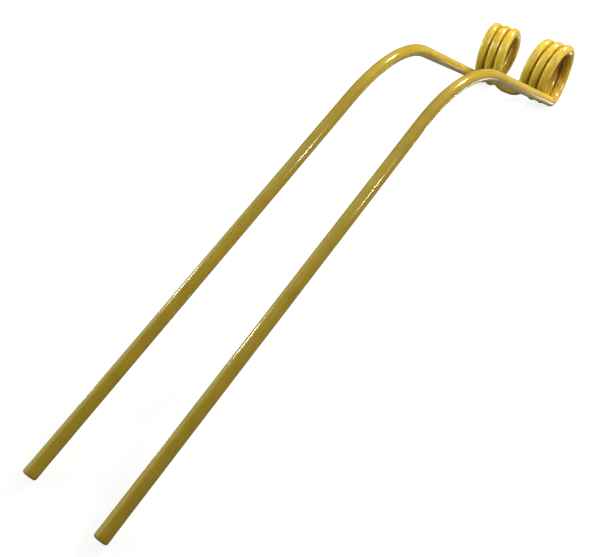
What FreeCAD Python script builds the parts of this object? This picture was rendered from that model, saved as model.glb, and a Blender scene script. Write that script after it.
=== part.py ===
import FreeCAD, Part
import math
import os

# Double spring tine: one bar of spring steel, bent and coiled in one piece.
# Each half runs from a square-cut tip up a straight leg, round a wide knee, down an arm
# and into a coil of nearly three turns. A short bridge joins the two coils.
# The halves are mirror images across the plane Y = 0.
# Origin: middle of the coils' common axis. +Y runs along that axis, +Z is up, and the
# legs reach out towards -X. The tine lies as it rests, on its two tips and two coils.

Vector = FreeCAD.Vector
ON_PLANE = 1e-4  # millimetres; a corner this close to a plane lies in it

# name, millimetres or degrees, what it measures
SIZES = [
    ("bar_diameter", "10", "round bar the whole tine is bent from"),
    ("bar_sides", "20", "narrow flats that stand for the bar's round section"),
    ("coil_mean_radius", "27", "coil axis to the middle of the bar"),
    ("turn_gap", "0.25", "clear gap between neighbouring turns of a coil"),
    ("half_turns", "5", "whole half turns of each coil, after the part turn at the arm"),
    ("coil_gap", "21.5", "clear gap between the two coils, at the bridge"),
    ("bridge_flat", "4", "straight run in the middle of the bridge"),
    ("arm_set_radius", "120", "gentle sideways bend where the arm leaves the coil"),
    ("arm_length", "166", "straight run of the arm"),
    ("arm_angle", "49", "bend of the knee, between arm and leg"),
    ("arm_lean", "4.7", "lean of each arm towards the other one"),
    ("knee_radius", "154", "mid-bar radius of the knee"),
    ("leg_length", "355", "straight run of the leg, knee to tip"),
    ("leg_spread", "0.25", "opening of each leg towards its tip"),
    ("tip_bevel", "1", "broken edge round the square-cut tip"),
]


def make_sheet(doc):
    """Spreadsheet with one row per driving size, each under its own alias."""
    sheet = doc.addObject("Spreadsheet::Sheet", "Sizes")
    for row, (alias, value, meaning) in enumerate(SIZES, start=1):
        sheet.set(f"A{row}", meaning)
        sheet.set(f"B{row}", value)
        sheet.setAlias(f"B{row}", alias)
    doc.recompute()
    return sheet


def bend(start, heading, new_heading, radius):
    """Arc that leaves start along heading and turns to new_heading; returns it and its end."""
    turn = heading.getAngle(new_heading)
    inward = new_heading - heading * heading.dot(new_heading)
    inward.normalize()

    def at(angle):
        return start + heading * (radius * math.sin(angle)) + inward * (radius * (1 - math.cos(angle)))

    return Part.Arc(start, at(turn / 2), at(turn)).toShape(), at(turn)


def run(start, heading, length):
    """Straight edge from start along heading; returns it and its end."""
    end = start + heading * length
    return Part.LineSegment(start, end).toShape(), end


def direction(x, y, z):
    """Unit vector along (x, y, z)."""
    vector = Vector(x, y, z)
    vector.normalize()
    return vector


class Layout:
    """Lengths and directions worked out from the sheet, with the legs level along -X."""

    def __init__(self, sheet):
        self.bar = sheet.bar_diameter
        self.radius = sheet.coil_mean_radius
        self.pitch = sheet.bar_diameter + sheet.turn_gap
        self.half_turns = int(round(sheet.half_turns))
        slope = math.radians(sheet.arm_angle)
        lean = math.radians(sheet.arm_lean)
        spread = math.radians(sheet.leg_spread)
        # the arm touches the coil a quarter turn plus its own slope before the far side
        self.contact = math.pi / 2 + slope
        self.arm_heading = direction(
            -math.cos(slope), -math.sin(slope) * math.sin(lean), math.sin(slope) * math.cos(lean)
        )
        self.leg_heading = direction(-math.cos(spread), math.sin(spread), 0)
        # a half turn is one flat arc, tilted so that its ends lie half a pitch apart
        self.arc_radius = math.hypot(self.radius, self.pitch / 4)
        # middle of the bar where the coil ends and the bridge begins
        self.bridge_y = (sheet.coil_gap + self.bar) / 2
        self.bridge_radius = self.bridge_y - sheet.bridge_flat / 2
        self.far_side_y = self.bridge_y + self.half_turns * self.pitch / 2

    def first_arc_point(self, angle):
        """Point of the part turn at the arm; angle 0 is the far side, negative is before it."""
        rise = self.pitch / 4 * (1 - math.cos(angle))
        return Vector(
            self.radius * math.cos(angle), self.far_side_y + rise, self.arc_radius * math.sin(angle)
        )


def coil_edges(plan):
    """Part turn at the arm, then whole half turns that step in towards the bridge."""
    begin = plan.first_arc_point(-plan.contact)
    middle = plan.first_arc_point(-plan.contact / 2)
    end = plan.first_arc_point(0)
    edges = [Part.Arc(begin, middle, end).toShape()]
    side = 1
    for _ in range(plan.half_turns):
        top = Vector(0, end.y - plan.pitch / 4, side * plan.arc_radius)
        far = Vector(-side * plan.radius, end.y - plan.pitch / 2, 0)
        edges.append(Part.Arc(end, top, far).toShape())
        end = far
        side = -side
    return edges, begin, end, side


def half_line(sheet, plan):
    """Centre line of the +Y half, from the tip to the start of the bridge's straight run."""
    coil, contact_point, coil_end, side = coil_edges(plan)
    lead = plan.pitch / 4 * math.sin(plan.contact)
    leaving = direction(
        -plan.radius * math.sin(plan.contact), lead, -plan.arc_radius * math.cos(plan.contact)
    )
    arm_set, arm_start = bend(contact_point, leaving, plan.arm_heading, sheet.arm_set_radius)
    arm, arm_end = run(arm_start, plan.arm_heading, sheet.arm_length)
    knee, knee_end = bend(arm_end, plan.arm_heading, plan.leg_heading, sheet.knee_radius)
    leg, tip = run(knee_end, plan.leg_heading, sheet.leg_length)
    bridge, bridge_end = bend(coil_end, Vector(0, 0, side), Vector(0, -1, 0), plan.bridge_radius)
    return [leg, knee, arm, arm_set] + coil + [bridge], tip, bridge_end


def whole_line(sheet, plan):
    """Centre line of the whole bar, tip to tip, as one wire of tangent runs and arcs."""
    half, tip, bridge_end = half_line(sheet, plan)
    other = [edge.mirror(Vector(0, 0, 0), Vector(0, 1, 0)) for edge in half]
    middle = Part.LineSegment(bridge_end, Vector(bridge_end.x, -bridge_end.y, bridge_end.z))
    return Part.Wire(half + [middle.toShape()] + other[::-1]), tip


def resting_tilt(sheet, plan, tip):
    """Degrees that bring the tips' lower edges and the coils' undersides to one level."""
    edge_x = tip.x + sheet.tip_bevel
    edge_z = tip.z - plan.bar / 2
    coil_outside = plan.arc_radius + plan.bar / 2
    tilt = math.atan2(edge_z, -edge_x) + math.asin(coil_outside / math.hypot(edge_x, edge_z))
    return math.degrees(tilt)


def make_bar_line(doc, sheet, plan):
    """Bar's centre line, turned about the coil axis into its resting place."""
    wire, tip = whole_line(sheet, plan)
    rest = FreeCAD.Rotation(Vector(0, 1, 0), -resting_tilt(sheet, plan, tip))
    feature = doc.addObject("Part::Feature", "BarLine")
    feature.Label = "bar_line"
    feature.Shape = wire
    feature.Placement = FreeCAD.Placement(Vector(0, 0, 0), rest)
    return feature, rest.multVec(tip), rest.multVec(plan.leg_heading)


def make_section(doc, centre, normal):
    """Section of the bar at the tip, square to the leg, with the area of the round it stands for.

    A true round bent through so many turns would mesh to twice the triangles for a surface
    that lies within 0.04 mm of this one at the stated sizes.
    """
    section = doc.addObject("Part::RegularPolygon", "BarSection")
    section.Label = "bar_section"
    section.setExpression("Polygon", "Sizes.bar_sides")
    section.setExpression(
        "Circumradius",
        "Sizes.bar_diameter / 2 * sqrt(2 * pi / (Sizes.bar_sides * sin(360 deg / Sizes.bar_sides)))",
    )
    section.Placement = FreeCAD.Placement(centre, FreeCAD.Rotation(Vector(0, 0, 1), normal))
    return section


def make_bar(doc, line, section):
    """Solid bar: the section carried along the whole centre line."""
    sweep = doc.addObject("Part::Sweep", "Bar")
    sweep.Label = "bent_bar"
    sweep.Sections = [section]
    sweep.Spine = (line, [f"Edge{i + 1}" for i in range(len(line.Shape.Edges))])
    sweep.Solid = True
    sweep.Frenet = False
    return sweep


def mirrored(vector):
    """The same point or direction on the other half of the tine."""
    return Vector(vector.x, -vector.y, vector.z)


def tip_edges(shape, tip, leg_heading):
    """Numbers of the edges that lie in the flat cut of either tip."""
    cuts = [(tip, leg_heading), (mirrored(tip), mirrored(leg_heading))]
    numbers = []
    for number, edge in enumerate(shape.Edges, start=1):
        for point, normal in cuts:
            if all(abs((end.Point - point).dot(normal)) < ON_PLANE for end in edge.Vertexes):
                numbers.append(number)
    return numbers


def make_tine(doc, sheet, bar, tip, leg_heading):
    """The finished tine: the bar with a small bevel on the rim of each tip."""
    tine = doc.addObject("Part::Chamfer", "SpringTine")
    tine.Label = "spring_tine"
    tine.Base = bar
    bevel = sheet.tip_bevel
    tine.Edges = [(number, bevel, bevel) for number in tip_edges(bar.Shape, tip, leg_heading)]
    return tine


def stop_on_fault(doc, pieces):
    """Refuse to write anything if an object failed or a piece has no sound solid."""
    for item in doc.Objects:
        if "Invalid" in item.State or "Error" in item.State:
            raise RuntimeError(f"{item.Label} did not build: {item.State}")
    for piece in pieces:
        if piece.Shape.isNull() or not piece.Shape.isValid() or len(piece.Shape.Solids) != 1:
            raise RuntimeError(f"{piece.Label} is not one sound solid")


def write_pieces(pieces):
    """One STEP file per piece, named after its label."""
    os.makedirs("parts", exist_ok=True)
    for piece in pieces:
        piece.Shape.exportStep(f"parts/{piece.Label}.step")
        box = piece.Shape.BoundBox
        print(
            f"{piece.Label}: {box.XLength:.1f} x {box.YLength:.1f} x {box.ZLength:.1f} mm,"
            f" lowest {box.ZMin:.2f}, volume {piece.Shape.Volume / 1000:.1f} cm3"
        )


def main():
    doc = FreeCAD.newDocument("DoubleSpringTine")
    sheet = make_sheet(doc)
    plan = Layout(sheet)
    line, tip, leg_heading = make_bar_line(doc, sheet, plan)
    section = make_section(doc, tip, leg_heading)
    bar = make_bar(doc, line, section)
    doc.recompute()
    tine = make_tine(doc, sheet, bar, tip, leg_heading)
    doc.recompute()
    stop_on_fault(doc, [tine])
    bar_area = math.pi * plan.bar ** 2 / 4
    share = tine.Shape.Volume / (bar_area * line.Shape.Length)
    print(f"bar length {line.Shape.Length:.0f} mm, volume against section times length {share:.5f}")
    print(f"bridge bend radius {plan.bridge_radius:.1f} mm, coil pitch {plan.pitch:.2f} mm")
    write_pieces([tine])


main()
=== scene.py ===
# %% [markdown]
# # A double spring tine in Blender
#
# The object is one round bar of spring steel, bent and coiled, then painted a glossy ochre
# yellow. Two long legs run from their tips to a wide knee each, then arms lead down into two
# coils that lie side by side, and a short bridge joins the coils. This lesson carries a
# circle along the bar's own centre line, so that every bend is as smooth as on the real bar,
# and then sets up the paint, the table, the lamps and the camera.

import bpy
import numpy as np
from mathutils import Matrix


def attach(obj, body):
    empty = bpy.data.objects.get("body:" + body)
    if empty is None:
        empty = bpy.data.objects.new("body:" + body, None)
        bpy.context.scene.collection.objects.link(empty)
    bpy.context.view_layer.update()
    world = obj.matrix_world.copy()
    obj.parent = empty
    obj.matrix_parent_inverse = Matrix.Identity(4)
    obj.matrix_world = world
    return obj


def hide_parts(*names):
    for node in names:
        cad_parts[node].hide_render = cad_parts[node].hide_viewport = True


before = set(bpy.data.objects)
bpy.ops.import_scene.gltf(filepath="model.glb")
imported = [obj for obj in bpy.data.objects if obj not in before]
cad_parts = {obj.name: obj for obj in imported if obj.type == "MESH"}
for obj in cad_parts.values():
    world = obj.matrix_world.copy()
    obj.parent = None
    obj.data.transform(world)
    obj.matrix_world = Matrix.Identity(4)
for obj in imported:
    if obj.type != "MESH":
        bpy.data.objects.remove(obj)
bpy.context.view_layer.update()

# %% [markdown]
# ## The sizes that shape the line of the bar
#
# These are the same sizes that the solid is built from, in metres and radians. The smooth bar
# could also be made by rounding the solid's own narrow flats with a modifier, but that would
# soften the cut tips as well. Working from the sizes keeps the section a true circle.

# %% Sizes of the bar and its bends
BAR_RADIUS = 0.005
COIL_RADIUS = 0.027  # coil axis to the middle of the bar
TURN_PITCH = 0.01025  # one bar and the small gap to the next turn
HALF_TURNS = 5
COIL_GAP = 0.0215  # clear space between the two coils
BRIDGE_FLAT = 0.004
ARM_SET_RADIUS = 0.120
ARM_LENGTH = 0.166
ARM_ANGLE = np.radians(49)
ARM_LEAN = np.radians(4.7)
KNEE_RADIUS = 0.154
LEG_LENGTH = 0.355
LEG_SPREAD = np.radians(0.25)
TIP_ROUND = 0.001  # rounding of the rim of each cut end
print("coil, outside diameter in mm:", round(2000 * (COIL_RADIUS + BAR_RADIUS), 1))

# %% [markdown]
# ## A walk along the bar
#
# A bender makes this part from straight runs and bends, and a line can be drawn the same
# way. A walker stands at a point with a heading and a side direction. A straight run moves
# the point. A bend turns all three about one axis. The side direction turns with the bend
# and never twists about the heading, so a circle carried by it never twists either.


# %% The walker
def unit(vector):
    """The vector divided by its own length."""
    vector = np.asarray(vector, float)
    return vector / np.linalg.norm(vector)


def turned(vector, axis, angles):
    """One vector turned about a unit axis by many angles at once.

    The part along the axis stays, and the rest swings from its start towards the cross
    product of axis and vector: v cos a + (k x v) sin a + k (k . v)(1 - cos a).
    """
    cosine = np.cos(angles)[:, None]
    sine = np.sin(angles)[:, None]
    along = axis * np.dot(axis, vector)
    return vector * cosine + np.cross(axis, vector) * sine + along * (1 - cosine)


class Walk:
    """Stations along a line: points, headings, side directions and distances walked."""

    def __init__(self, point, heading, side):
        self.now = (np.array(point, float), unit(heading), unit(side))
        self.walked = 0.0
        self.stations = []

    def keep(self, points, headings, sides, length):
        """Stores a stretch without its last station, which starts the next stretch."""
        distances = self.walked + np.linspace(0, length, len(points))
        self.stations.append((points[:-1], headings[:-1], sides[:-1], distances[:-1]))
        self.now = (points[-1], unit(headings[-1]), unit(sides[-1]))
        self.walked += length

    def run(self, length, step):
        """Straight run: the point moves along the heading and nothing turns."""
        point, heading, side = self.now
        far = np.linspace(0, length, int(np.ceil(length / step)) + 1)[:, None]
        same = np.ones_like(far)
        self.keep(point + heading * far, heading * same, side * same, length)

    def arc(self, axis, angle, radius, step):
        """Bend: point, heading and side all turn about one axis through the bend's centre."""
        point, heading, side = self.now
        centre = point + np.cross(axis, heading) * radius
        angles = np.linspace(0, angle, int(np.ceil(angle * radius / step)) + 1)
        spokes = turned(point - centre, axis, angles)
        new_headings = turned(heading, axis, angles)
        new_sides = turned(side, axis, angles)
        self.keep(centre + spokes, new_headings, new_sides, angle * radius)

    def bend_to(self, heading, radius, step):
        """Bend that ends along the given heading, about the axis square to both headings."""
        old = self.now[1]
        new = unit(heading)
        self.arc(unit(np.cross(old, new)), np.arccos(np.dot(old, new)), radius, step)

    def line(self):
        """All stations as four arrays, with the last station added."""
        last = (*[part[None] for part in self.now], np.array([self.walked]))
        parts = zip(*self.stations, last)
        return [np.concatenate(part) for part in parts]


# %% [markdown]
# ## Half of the bar, from the bridge out to one tip
#
# The two halves of the tine mirror each other, so one half is walked. It starts in the
# middle of the bridge and goes up beside the coil's axis into the coil. The coil is five
# half turns and a part turn. Each half turn is a flat arc that is tilted a little, once one
# way and once the other, so that the bar moves sideways by half a pitch. A helix could be
# used too, but tilted arcs meet the bridge and the solid exactly.

# %% Walk one half
STEP_FINE = 0.0009  # metres from station to station, in the coils and the bends beside them
STEP_KNEE = 0.002
STEP_STRAIGHT = 0.003
UP = np.array([0.0, 0.0, 1.0])
ACROSS = np.array([0.0, 1.0, 0.0])


def half_bar():
    """Stations of the +Y half, with the legs still level along -X."""
    arc_radius = np.hypot(COIL_RADIUS, TURN_PITCH / 4)
    bridge_y = COIL_GAP / 2 + BAR_RADIUS
    bridge_radius = bridge_y - BRIDGE_FLAT / 2
    walk = Walk((-COIL_RADIUS, 0, -bridge_radius), ACROSS, (1, 0, 0))
    walk.run(BRIDGE_FLAT / 2, STEP_FINE)
    walk.bend_to(UP, bridge_radius, STEP_FINE)
    toward = 1.0
    part_turn = np.pi / 2 + ARM_ANGLE
    for turn in [np.pi] * HALF_TURNS + [part_turn]:
        to_centre = unit((toward * COIL_RADIUS, TURN_PITCH / 4, 0))
        walk.arc(unit(np.cross(-to_centre, walk.now[1])), turn, arc_radius, STEP_FINE)
        toward = -toward
    rise = np.sin(ARM_ANGLE)
    arm = (-np.cos(ARM_ANGLE), -rise * np.sin(ARM_LEAN), rise * np.cos(ARM_LEAN))
    walk.bend_to(arm, ARM_SET_RADIUS, STEP_FINE)
    walk.run(ARM_LENGTH, STEP_STRAIGHT)
    walk.bend_to((-np.cos(LEG_SPREAD), np.sin(LEG_SPREAD), 0), KNEE_RADIUS, STEP_KNEE)
    walk.run(LEG_LENGTH - TIP_ROUND, STEP_STRAIGHT)
    return walk.line()


points, headings, sides, distances = half_bar()
print("one half:", len(points), "stations,", round(1000 * (distances[-1] + TIP_ROUND), 1), "mm")

# %% [markdown]
# ## Laid down to rest, and mirrored
#
# A tine that is put on a table lies on its two tips and on the undersides of its coils. The
# line is turned about the coils' axis by the angle that brings both to one level. The other
# half is the mirror image, walked backwards, so that the whole bar is one line from tip to
# tip. Its headings are mirrored with it, and then reversed for the way back.


# %% Rest angle and the whole line
def rest_angle(tip):
    """Slope of the tip's lower corner, plus the slope of the line from it that just
    touches the coil's underside."""
    corner_x = tip[0]
    corner_z = tip[2] - BAR_RADIUS
    coil_outside = np.hypot(COIL_RADIUS, TURN_PITCH / 4) + BAR_RADIUS
    from_axis = np.hypot(corner_x, corner_z)
    return np.arctan2(corner_z, -corner_x) + np.arcsin(coil_outside / from_axis)


angle = -rest_angle(points[-1])
laid = np.array(Matrix.Rotation(angle, 3, "Y"))
points, headings, sides = (part @ laid.T for part in (points, headings, sides))
MIRROR = np.array([1.0, -1.0, 1.0])
points = np.concatenate([(points * MIRROR)[:0:-1], points])
headings = np.concatenate([-(headings * MIRROR)[:0:-1], headings])
sides = np.concatenate([(sides * MIRROR)[:0:-1], sides])
half_length = distances[-1]
distances = np.concatenate([half_length - distances[:0:-1], half_length + distances])
print("resting tilt, degrees:", round(-np.degrees(angle), 2), "stations:", len(points))

# %% [markdown]
# ## The painted skin
#
# The skin is a surface with two parameters: the distance along the bar and the angle round
# it. Its radius is the bar's own, with two things that paint adds. A slow, shallow swell
# runs all over it, because sprayed enamel never dries quite flat, and it makes the streaks
# of light waver. A thicker bead of paint gathers just behind each cut end. Both are real
# relief in the mesh and not only shading.

# %% Relief of the paint
rng = np.random.default_rng(7)
AROUND = 48  # points in each ring round the bar
SWELL_DEPTH = 0.000016
WAVES = 24
WAVES_PER_METRE = (25, 150)  # slowest and fastest wave along the bar
MOST_ROUND = 3  # most waves round the bar, in either sense
BEAD_DEPTH = 0.00012
BEAD_PLACE = 0.0035  # from the cut end to the top of the bead
BEAD_WIDTH = 0.0022


def swell(along, around):
    """Sum of waves, each a cosine of its own turns per metre and turns round the bar."""
    per_metre = rng.uniform(*WAVES_PER_METRE, WAVES)[:, None, None]
    per_turn = rng.integers(-MOST_ROUND, MOST_ROUND + 1, WAVES)[:, None, None]
    start = rng.uniform(0, 2 * np.pi, WAVES)[:, None, None]
    waves = np.cos(2 * np.pi * per_metre * along + per_turn * around + start)
    return SWELL_DEPTH * waves.mean(axis=0) * np.sqrt(WAVES)


def bead(from_tip):
    """A bell curve of the distance from the cut end."""
    return BEAD_DEPTH * np.exp(-(((from_tip - BEAD_PLACE) / BEAD_WIDTH) ** 2))


# %% [markdown]
# ## Cut ends
#
# The bar was sheared square and the paint has rounded the rim. Beyond the last station the
# ring shrinks along a quarter circle, then runs in flat to a pole in the middle. The poles
# are single points that close the skin, so no hole is left at either end.

# %% Rings past each end
ROUND_STEPS = 6
FLAT_RINGS = 4
quarter = np.linspace(0, np.pi / 2, ROUND_STEPS + 1)[1:]
beyond = TIP_ROUND * np.sin(quarter)
shrink = TIP_ROUND * (1 - np.cos(quarter))
flat_radius = (BAR_RADIUS - TIP_ROUND) * np.linspace(1, 0, FLAT_RINGS + 1)[1:-1]
end_beyond = np.concatenate([beyond, np.full(len(flat_radius), TIP_ROUND)])
end_radius = np.concatenate([BAR_RADIUS - shrink, flat_radius])

total = distances[-1]
along = distances[:, None]
around = np.linspace(0, 2 * np.pi, AROUND + 1)[None, :-1]
from_tip = np.minimum(along, total - along) + TIP_ROUND
radius = BAR_RADIUS + swell(along, around) + bead(from_tip)


def end_rings(station, sign):
    """Rings past one end: the end station's circle, moved along the heading and shrunk."""
    centre = points[station] + sign * headings[station] * end_beyond[:, None]
    share = end_radius / BAR_RADIUS
    return centre, share[:, None] * radius[station][None]


first_centres, first_radius = end_rings(0, -1)
last_centres, last_radius = end_rings(-1, 1)
centres = np.concatenate([first_centres[::-1], points, last_centres])
all_radius = np.concatenate([first_radius[::-1], radius, last_radius])
extra = len(end_beyond)
station = np.clip(np.arange(len(centres)) - extra, 0, len(points) - 1)
ring_heading = headings[station]
ring_side = sides[station]
ring_third = np.cross(ring_heading, ring_side)
print("rings:", len(centres), "of", AROUND, "points")

# %% [markdown]
# ## From rings to a mesh
#
# Every ring has the same number of points, so the skin is one grid whose last column is
# joined to its first. The corners of all faces are worked out as whole arrays, in the order
# that makes the faces point outwards.


# %% Build the skin as a mesh
def skin_spokes():
    """Side times cos a plus third times sin a, for every ring and every angle a round it."""
    across_side = ring_side[:, None] * np.cos(around)[..., None]
    return across_side + ring_third[:, None] * np.sin(around)[..., None]


def skin_points():
    """Centre of the ring plus its radius at that angle times the spoke."""
    return centres[:, None] + all_radius[..., None] * skin_spokes()


def skin_faces(rings, pole_a, pole_b):
    """Four corners for each cell of the grid, the last column joined to the first, and a
    fan of triangles from the first and the last ring to the two poles."""
    ring = np.arange(rings - 1)[:, None] * AROUND
    here = np.arange(AROUND)[None]
    beside = (here + 1) % AROUND
    above = ring + AROUND
    cells = np.stack([ring + here, ring + beside, above + beside, above + here], -1)
    last = (rings - 1) * AROUND
    first_fan = np.stack([beside[0], here[0], np.full(AROUND, pole_a)], -1)
    last_fan = np.stack([last + here[0], last + beside[0], np.full(AROUND, pole_b)], -1)
    return cells.reshape(-1, 4).tolist() + first_fan.tolist() + last_fan.tolist()


grid = skin_points()
poles = np.array([centres[0], centres[-1]])
vertices = np.concatenate([grid.reshape(-1, 3), poles])
count = len(centres) * AROUND
faces = skin_faces(len(centres), count, count + 1)
mesh = bpy.data.meshes.new("painted_bar")
mesh.from_pydata(vertices.tolist(), [], faces)
mesh.polygons.foreach_set("use_smooth", np.ones(len(mesh.polygons), bool))
mesh.update()
tine = bpy.data.objects.new("painted_bar", mesh)
bpy.context.scene.collection.objects.link(tine)
print("faces:", len(faces), "lowest point, mm:", round(1000 * vertices[:, 2].min(), 2))

# %% [markdown]
# ## Painted shade in the creases and inside the coils
#
# The creases between two turns and the inner side of the coils get a painted shade, a browner
# colour in the paint. Every point of the skin gets a number for that, from 0 in the open to 1 in
# the shade, worked out from where it lies on the coil. A node could measure nearness to other
# faces instead, but a number in the mesh stays with it wherever the mesh goes.


# %% Share of painted shade at every point
ON_COIL_WIDTH = 0.0012  # how far from the coil's own radius the bar still counts as coil
TURN_NEAR = 0.95  # of a pitch, the least distance that counts as another turn
CREASE_START = 0.45  # of the spoke along the axis, where a crease begins
INNER_SHADE_START, INNER_SHADE_FULL = 0.1, 0.9  # of the spoke towards the axis
INNER_SHADE_SHARE = 0.8


def smooth_step(value, low, high):
    """0 below low, 1 above high, and 3 t^2 - 2 t^3 of the way t between them."""
    way = np.clip((value - low) / (high - low), 0, 1)
    return way * way * (3 - 2 * way)


def crease_share(outwards, place):
    """Part of the spoke that points along the axis, where another turn lies on that side."""
    inner_turn = COIL_GAP / 2 + BAR_RADIUS
    outer_turn = inner_turn + (HALF_TURNS + 1) * TURN_PITCH / 2
    turn_outside = (place + TURN_NEAR * TURN_PITCH < outer_turn)[:, None]
    turn_inside = (place - TURN_NEAR * TURN_PITCH > inner_turn)[:, None]
    outer_crease = np.where(turn_outside, smooth_step(outwards, CREASE_START, 1), 0)
    inner_crease = np.where(turn_inside, smooth_step(-outwards, CREASE_START, 1), 0)
    return np.maximum(outer_crease, inner_crease)


def painted_shade_share():
    """Share of painted shade, the larger of two shares, on the coils only: the crease between
    turns, and the part of the spoke that points at the coil's axis."""
    from_axis = np.hypot(centres[:, 0], centres[:, 2])
    on_coil = np.exp(-(((from_axis - COIL_RADIUS) / ON_COIL_WIDTH) ** 2))
    spoke = skin_spokes()
    inward = -(spoke[..., 0] * centres[:, None, 0] + spoke[..., 2] * centres[:, None, 2])
    shade = smooth_step(inward / from_axis[:, None], INNER_SHADE_START, INNER_SHADE_FULL)
    outwards = spoke[..., 1] * np.sign(centres[:, 1])[:, None]
    crease = crease_share(outwards, np.abs(centres[:, 1]))
    return on_coil[:, None] * np.maximum(crease, INNER_SHADE_SHARE * shade)


# Painted shade: 1 where the creases and the inner side of the coils are darkened, 0 in the open,
# and 0 at the poles.
at_poles = [0, 0]
painted_shade_values = np.concatenate([painted_shade_share().ravel(), at_poles])
attribute = mesh.attributes.new("painted_shade", "FLOAT", "POINT")
attribute.data.foreach_set("value", painted_shade_values.astype(np.float32))
print("points in the lee:", int((painted_shade_values > 0.5).sum()), "of", len(painted_shade_values))
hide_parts("spring_tine")
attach(tine, "root")

# %% [markdown]
# ## Glossy ochre enamel
#
# One coat of enamel is a coloured layer under a clear, smooth surface, so a Principled
# shader with a low roughness is enough. Its patterns read the piece's own coordinates, so
# they stay on the bar from every side. Two helpers keep the set-up short: one adds a node
# and fills its inputs, and the other adds a Math node.

# %% Shader and helpers
ENAMEL_ROUGHNESS = 0.12
ENAMEL_IOR = 1.5
paint = bpy.data.materials.new("ochre_enamel")
paint.use_nodes = True
coating = paint.node_tree
shader = coating.nodes["Principled BSDF"]
shader.inputs["Roughness"].default_value = ENAMEL_ROUGHNESS
shader.inputs["IOR"].default_value = ENAMEL_IOR
on_piece = coating.nodes.new("ShaderNodeTexCoord").outputs["Object"]


def add_node(tree, kind, inputs):
    """New node. An input that is given a socket is linked to it, and others hold the value."""
    node = tree.nodes.new("ShaderNode" + kind)
    for name, value in inputs.items():
        if isinstance(value, bpy.types.NodeSocket):
            tree.links.new(value, node.inputs[name])
        else:
            node.inputs[name].default_value = value
    return node


def calculate(tree, operation, first, second):
    """Output of a Math node, such as the product of two inputs or the larger of them."""
    node = add_node(tree, "Math", {0: first, 1: second})
    node.operation = operation
    return node.outputs["Value"]


# %% [markdown]
# ## Colour of the coat
#
# The ochre drifts a little between a deeper and a paler tone from place to place. In the creases
# and inside the coils a browner colour is painted in as shade, and a second noise breaks that up
# into patches. A painted picture could hold the colours instead, but it would have to be
# unrolled from the coils.

# %% Drift of the ochre
DEEP_OCHRE = (0.51, 0.346, 0.031, 1)
PALE_OCHRE = (0.62, 0.436, 0.045, 1)
drift = add_node(coating, "TexNoise", {"Vector": on_piece, "Scale": 60.0, "Detail": 6.0})
tone = add_node(coating, "ValToRGB", {"Fac": drift.outputs["Fac"]})
noise_ends = (0.3, 0.7)  # values of the noise that give the pure deep and the pure pale tone
for end, position, colour in zip(tone.color_ramp.elements, noise_ends, (DEEP_OCHRE, PALE_OCHRE)):
    end.position = position
    end.color = colour

# %% Painted shade, browner in the creases and inside the coils
# Colour of the painted shade in the creases and inside the coils.
SHADED_OCHRE = (0.44, 0.235, 0.012, 1)
# The share of painted shade is read from the mesh and broken up into patches by a noise.
shade = add_node(coating, "Attribute", {})
shade.attribute_name = "painted_shade"
patchy = add_node(coating, "TexNoise", {"Vector": on_piece, "Scale": 260.0, "Detail": 2.0})
patch_range = {"From Min": 0.3, "From Max": 0.7, "To Min": 0.55, "To Max": 1.25}
patch_gain = add_node(coating, "MapRange", {"Value": patchy.outputs["Fac"], **patch_range})
shade_amount = calculate(coating, "MULTIPLY", shade.outputs["Fac"], patch_gain.outputs["Result"])
shade_amount.node.use_clamp = True
coat = add_node(coating, "Mix", {})
coat.data_type = "RGBA"
unshaded, shaded = [socket for socket in coat.inputs if socket.type == "RGBA"]
mixed = [socket for socket in coat.outputs if socket.type == "RGBA"][0]
shaded.default_value = SHADED_OCHRE
coating.links.new(shade_amount, coat.inputs["Factor"])
coating.links.new(tone.outputs["Color"], unshaded)
coating.links.new(mixed, shader.inputs["Base Color"])

# %% [markdown]
# ## Orange peel and dust nibs
#
# A fine noise in the normal gives the orange peel that is too small for the mesh. A few dust
# nibs stand up from it and catch the lamps as small sparks. Each nib is a low cone round a
# Voronoi point: its height falls from 1 at the point to 0 at the nib's edge.

# %% Fine relief
NIB_EDGE = 0.09  # of the width of a Voronoi cell
peel = add_node(coating, "TexNoise", {"Vector": on_piece, "Scale": 420.0, "Detail": 2.0})
peel_relief = {"Height": peel.outputs["Fac"], "Strength": 0.12, "Distance": 0.0001}
peel_bump = add_node(coating, "Bump", peel_relief)
nibs = add_node(coating, "TexVoronoi", {"Vector": on_piece, "Scale": 190.0})
cone = {"Value": nibs.outputs["Distance"], "From Min": NIB_EDGE, "From Max": 0.0}
nib_shape = add_node(coating, "MapRange", cone)
nib_relief = {"Height": nib_shape.outputs["Result"], "Strength": 0.8, "Distance": 0.0003}
nib_bump = add_node(coating, "Bump", {"Normal": peel_bump.outputs["Normal"], **nib_relief})
coating.links.new(nib_bump.outputs["Normal"], shader.inputs["Normal"])
mesh.materials.append(paint)
print("nodes in the paint:", len(coating.nodes))

# %% [markdown]
# ## What looks white
#
# Table and room are seen as plain white by the camera, but they must not light the bar like
# a white room would. The Light Path node tells the rays apart. A camera ray, or one that has
# passed through something clear, gets the full white. A mirrored ray gets a small share of
# it, because enamel shows a white room only faintly and the bar would turn pale otherwise.


# %% How much of the white each kind of ray gets
MIRRORED_SHARE = 0.03


def white_seen(tree):
    """Larger of: camera ray, transmitted ray, and glossy ray times its share."""
    path = tree.nodes.new("ShaderNodeLightPath").outputs
    mirrored = calculate(tree, "MULTIPLY", path["Is Glossy Ray"], MIRRORED_SHARE)
    direct = calculate(tree, "MAXIMUM", path["Is Camera Ray"], path["Is Transmission Ray"])
    return calculate(tree, "MAXIMUM", direct, mirrored)


# %% [markdown]
# ## The table
#
# The tine lies on a pale glazed table. Its top is glossy: the bright streaks along the
# undersides of the arms are the far lamp, seen in the paint by way of the table. A glow in
# its own colour lifts what the camera sees to white, without more light on the object, and
# the shadow still shows in the light below the glow.

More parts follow.
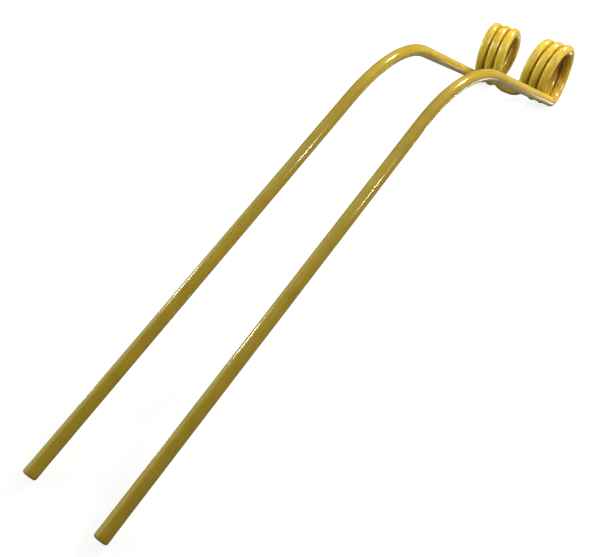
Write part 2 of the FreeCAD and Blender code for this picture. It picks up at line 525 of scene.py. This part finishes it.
# %% Table
FLOOR_HALF = 12.0  # half a side, so wide that from low angles its edge is the horizon
TABLE_GREY = (0.20, 0.20, 0.20, 1)
TABLE_ROUGHNESS = 0.10
TABLE_GLOW = 0.87
WHITE = (1, 1, 1, 1)
floor_z = float(vertices[:, 2].min())
square = ((-1, -1), (1, -1), (1, 1), (-1, 1))
corners = [(x * FLOOR_HALF, y * FLOOR_HALF, floor_z) for x, y in square]
floor_mesh = bpy.data.meshes.new("table_top")
floor_mesh.from_pydata(corners, [], [(0, 1, 2, 3)])
table_top = bpy.data.objects.new("table_top", floor_mesh)
bpy.context.scene.collection.objects.link(table_top)
glaze = bpy.data.materials.new("white_table")
glaze.use_nodes = True
surface = glaze.node_tree.nodes["Principled BSDF"]
surface.inputs["Base Color"].default_value = TABLE_GREY
surface.inputs["Roughness"].default_value = TABLE_ROUGHNESS
surface.inputs["Emission Color"].default_value = WHITE
glow = calculate(glaze.node_tree, "MULTIPLY", white_seen(glaze.node_tree), TABLE_GLOW)
glaze.node_tree.links.new(glow, surface.inputs["Emission Strength"])
floor_mesh.materials.append(glaze)
print("table top, mm:", round(1000 * floor_z, 2))

# %% [markdown]
# ## The room
#
# The room is one plain grey for every ray that lights the bar, dim enough for the lamps to
# shape it and bright enough to open the hollows of the coils. The backdrop is white.

# %% World
ROOM_LEVEL = 0.07
world = bpy.data.worlds.new("studio_room")
bpy.context.scene.world = world
world.use_nodes = True
backdrop = world.node_tree.nodes["Background"]
backdrop.inputs["Color"].default_value = WHITE
level = calculate(world.node_tree, "MAXIMUM", white_seen(world.node_tree), ROOM_LEVEL)
world.node_tree.links.new(level, backdrop.inputs["Strength"])
print("room level:", ROOM_LEVEL)

# %% [markdown]
# ## The lamps
#
# Three small soft boxes stand round the table. Their places were found from the streaks: at
# a bright spot the paint's normal lies halfway between the way to the camera and the way to
# the lamp. The far one also shows in the table, and from there along the undersides of the
# arms. Two wide boxes, above and on the left, give the even light and the pale sheen on the
# left edges. Four weak lamps are aimed at the coils, two for sparks and two for fill. They
# and the near lamp have a grid in front, which Blender calls the spread of an area lamp, and
# which keeps most of the light where the lamp points.


# %% Lamps
NO_GRID = 180  # degrees, the spread of a bare soft box
KNEES = (-0.1, 0, 0)
COILS = (0, 0, 0)


def soft_box(name, azimuth, elevation, distance, size, watts, colour, aim, spread):
    """Square area lamp at azimuth and elevation degrees from its aim, facing it."""
    data = bpy.data.lights.new(name, "AREA")
    data.shape = "SQUARE"
    data.size = size
    data.energy = watts
    data.color = colour
    data.spread = np.radians(spread)
    lamp = bpy.data.objects.new(name, data)
    across = np.radians(azimuth)
    up = np.radians(elevation)
    back = np.array([np.cos(up) * np.cos(across), np.cos(up) * np.sin(across), np.sin(up)])
    right = unit(np.cross(UP, back))
    pose = np.eye(4)
    pose[:3, 0] = right
    pose[:3, 1] = np.cross(back, right)
    pose[:3, 2] = back
    pose[:3, 3] = np.array(aim) + back * distance
    lamp.matrix_world = Matrix(pose.tolist())
    bpy.context.scene.collection.objects.link(lamp)


# name, azimuth, elevation, metres away, metres wide, watts, colour, aim, spread
LAMPS = [
    ("far_lamp", -19, 34, 1.6, 0.18, 25, (1.0, 0.93, 0.80), KNEES, NO_GRID),
    ("near_lamp", -85, 37, 1.1, 0.014, 0.5, (1.0, 0.95, 0.88), KNEES, 70),
    ("left_lamp", 100, 22, 1.6, 0.12, 6, (0.90, 1.0, 0.80), KNEES, NO_GRID),
    ("left_fill", 105, 28, 2.2, 2.2, 18, (0.88, 1.0, 0.80), KNEES, NO_GRID),
    ("top_fill", -20, 70, 1.3, 2.0, 8, (0.95, 1.0, 0.90), COILS, NO_GRID),
    ("left_spark", 98, 27, 1.3, 0.07, 0.13, (0.95, 1.0, 0.85), COILS, 24),
    ("near_spark", -85, 36, 1.1, 0.06, 0.08, (1.0, 0.97, 0.90), COILS, 26),
    ("coil_fill", -165, 60, 0.9, 0.2, 0.045, (1.0, 1.0, 0.92), COILS, 22),
    ("side_fill", -75, 36, 0.9, 0.3, 0.04, (1.0, 1.0, 0.90), COILS, 26),
]
for row in LAMPS:
    soft_box(*row)
print("lamps:", len(LAMPS))

# %% [markdown]
# ## The camera
#
# The camera looks down on the coils from beyond the tips. Its place and lens were worked out
# from the outline of the bar in the photograph, which is known all along its length.

# %% Camera
SENSOR_WIDTH = 36.0  # millimetres
LENS = 40.377  # millimetres
# Columns: the camera's right, its up, its back, and its place in metres.
CAMERA_POSE = (
    (0.609541, 0.560294, -0.560830, -0.696321),
    (-0.792603, 0.444545, -0.417324, -0.220838),
    (0.015490, 0.698892, 0.715059, 0.360440),
    (0, 0, 0, 1),
)
camera_data = bpy.data.cameras.new("camera")
camera_data.lens = LENS
camera_data.sensor_width = SENSOR_WIDTH
camera = bpy.data.objects.new("camera", camera_data)
camera.matrix_world = Matrix(CAMERA_POSE)
bpy.context.scene.collection.objects.link(camera)
bpy.context.scene.camera = camera
bpy.context.scene.view_settings.view_transform = "Standard"
print("camera at, m:", [round(value, 3) for value in camera.matrix_world.translation])
